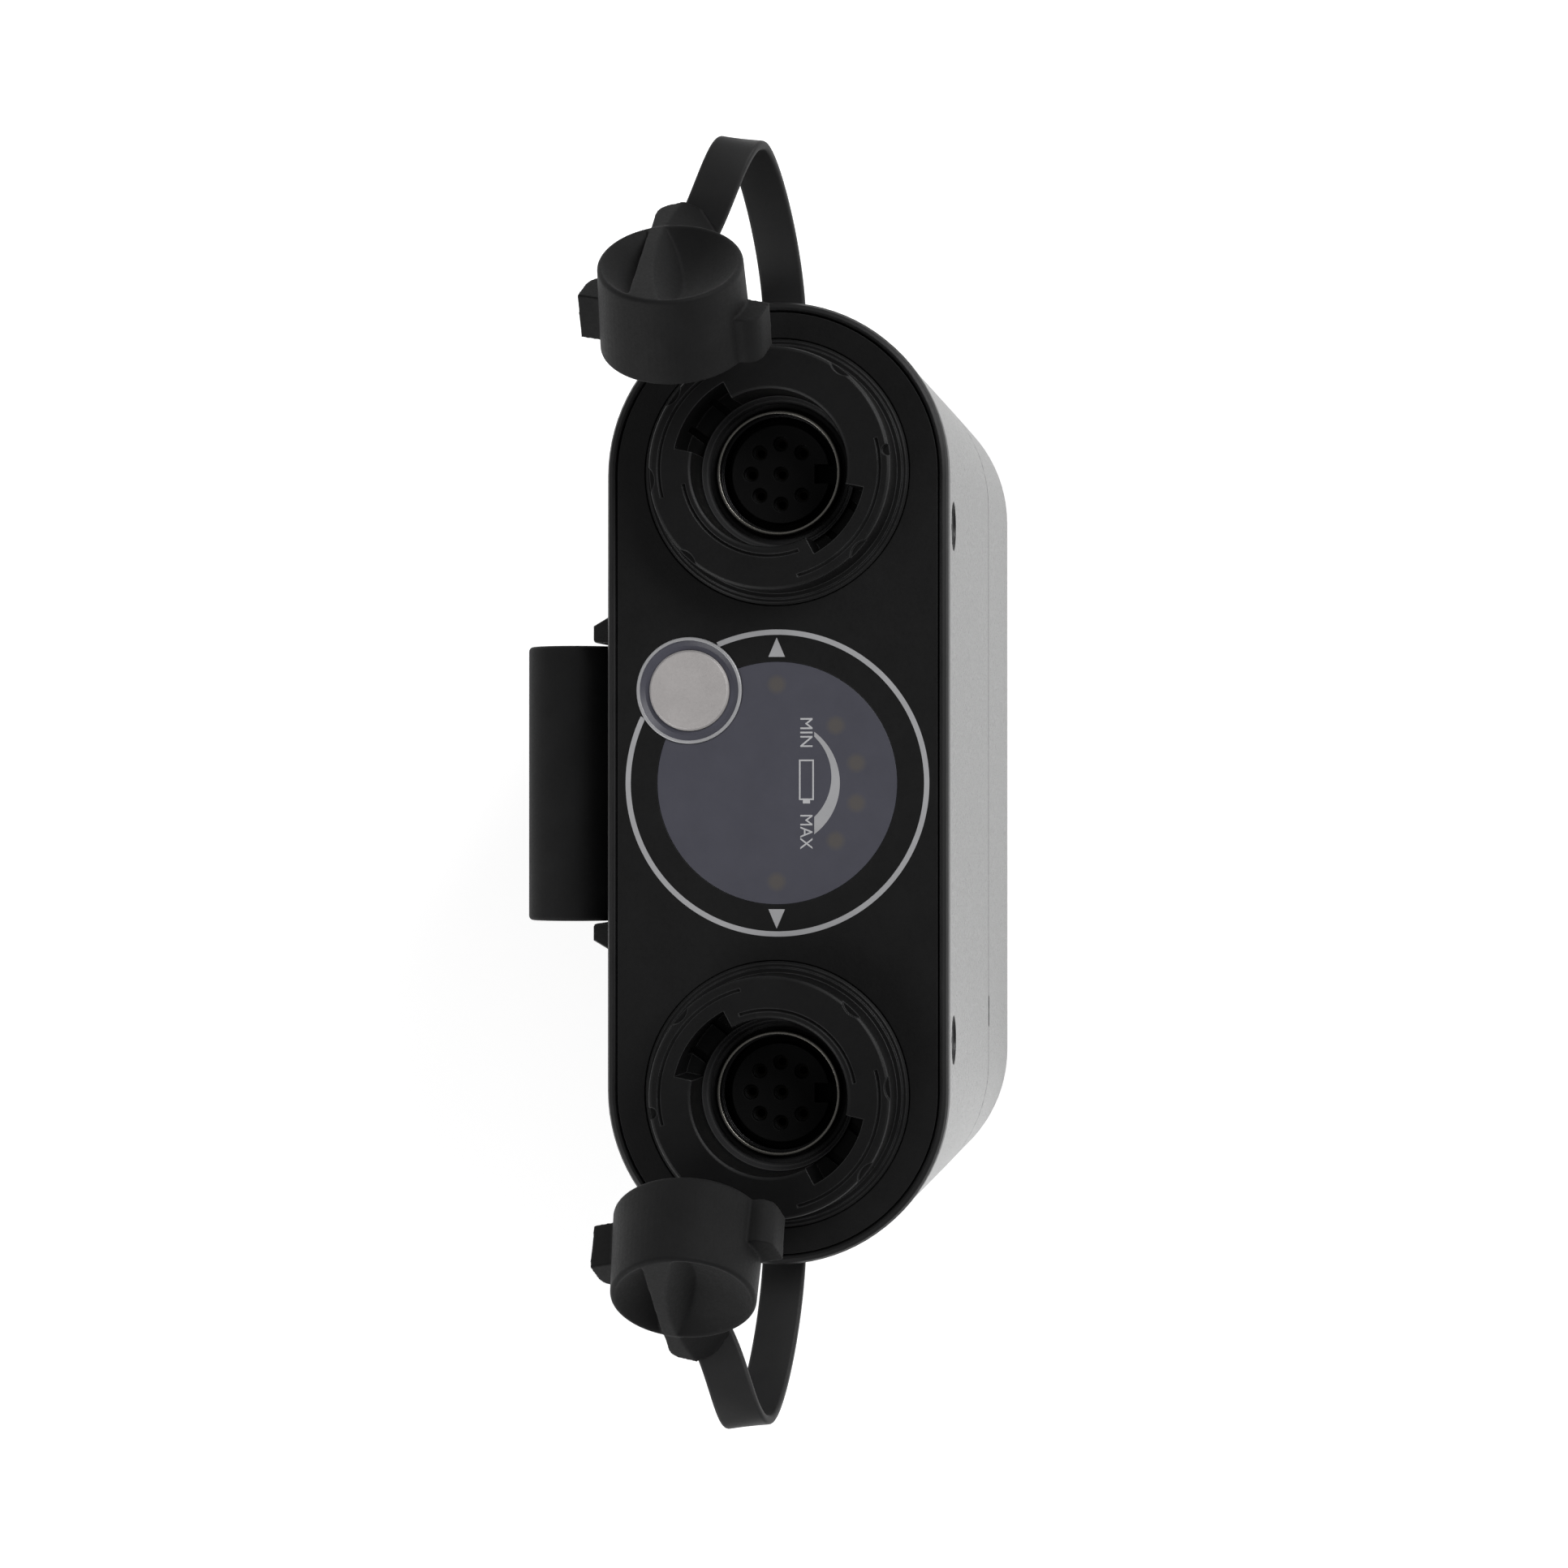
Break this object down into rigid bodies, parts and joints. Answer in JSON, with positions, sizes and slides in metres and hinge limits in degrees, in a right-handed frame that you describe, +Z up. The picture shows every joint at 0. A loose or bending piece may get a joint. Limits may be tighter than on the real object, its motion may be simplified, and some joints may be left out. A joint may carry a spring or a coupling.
{
  "type": "battery power pack",
  "caption": "Slim upright battery power pack with capped flash sockets, a charge gauge with a test button on the top face, and a belt clip.",
  "frame": {"origin": "centre of the housing's flat bottom face", "axes": "+Z up towards the socket face, +X along the long axis, -Y towards the plain front, +Y towards the belt clip"},
  "size_m": [0.1582, 0.0548, 0.1261],
  "materials": {
    "black_shell": "fine satin texture",
    "black_frame": "satin",
    "black_fascia": "fine grain",
    "seal": "matt",
    "screw_black": "black oxide",
    "collar": "satin",
    "shell_metal": "polished",
    "insert": "satin",
    "contact_metal": "polished",
    "nut_metal": "turned",
    "lead": "satin",
    "smoked_window": "satin, smoked",
    "baffle": "satin",
    "lamp": "gloss",
    "board": "satin",
    "screw_steel": "plain",
    "bezel_metal": "bright",
    "button_well": "gloss",
    "button_metal": "blasted",
    "plunger": "satin",
    "switch": "satin",
    "cap_rubber": "soft matt",
    "clip": "satin black",
    "cell_wrap": "shrink wrap",
    "holder": "matt",
    "strip": "plain nickel",
    "parts": "satin",
    "ribbon": "satin"
  },
  "bodies": {
    "housing": {"housing_body": "black_shell", "base_cover": "black_shell", "top_frame": "black_frame", "fascia_plate": "black_fascia", "base_seal": "seal", "top_seal": "seal", "throat_seal_1": "seal", "throat_seal_2": "seal", "side_screws": "screw_black", "base_screws": "screw_black", "socket_collar_1": "collar", "socket_collar_2": "collar", "socket_shell_1": "shell_metal", "socket_shell_2": "shell_metal", "socket_insert_1": "insert", "socket_insert_2": "insert", "socket_contacts_1": "contact_metal", "socket_contacts_2": "contact_metal", "socket_nut_1": "nut_metal", "socket_nut_2": "nut_metal", "socket_leads_1": "lead", "socket_leads_2": "lead", "gauge_lens": "smoked_window", "lamp_baffle": "baffle", "gauge_lamps": "lamp", "gauge_board": "board", "power_board": "board", "board_screws": "screw_steel", "clip_screws": "screw_steel", "button_bezel": "bezel_metal", "button_well": "button_well", "button_switch": "switch", "strap_1": "cap_rubber", "strap_2": "cap_rubber", "clip_foot": "clip", "battery_cells": "cell_wrap", "cell_holder_bottom": "holder", "cell_holder_top": "holder", "cell_strips": "strip", "board_parts": "parts", "gauge_ribbon": "ribbon"},
    "button": {"button_cap": "button_metal", "switch_plunger": "plunger"},
    "cap_body_1": {"cap_1": "cap_rubber"},
    "cap_body_2": {"cap_2": "cap_rubber"},
    "clip_lever": {"clip_arm": "clip"}
  },
  "joints": [
    {"name": "button_press", "type": "slide", "parent": "housing", "child": "button", "axis": [0, 0, -1], "range_m": [0, 0.0004], "stiffness_N_per_m": 30, "springref_m": -0.006},
    {"name": "cap_1_swing", "type": "hinge", "parent": "housing", "child": "cap_body_1", "pos_m": [0.0592, 0, 0.093], "axis": [0, 1, 0], "range_deg": [-12, 85], "stiffness_Nm_per_rad": 0.008, "deforming": ["strap_1"]},
    {"name": "cap_2_swing", "type": "hinge", "parent": "housing", "child": "cap_body_2", "pos_m": [-0.0592, 0, 0.093], "axis": [0, -1, 0], "range_deg": [-12, 85], "stiffness_Nm_per_rad": 0.008, "deforming": ["strap_2"]},
    {"name": "clip_flex", "type": "hinge", "parent": "housing", "child": "clip_lever", "pos_m": [0, 0.0274, 0.0933], "axis": [1, 0, 0], "range_deg": [0, 8], "stiffness_Nm_per_rad": 0.4, "springref_deg": -2.86}
  ]
}
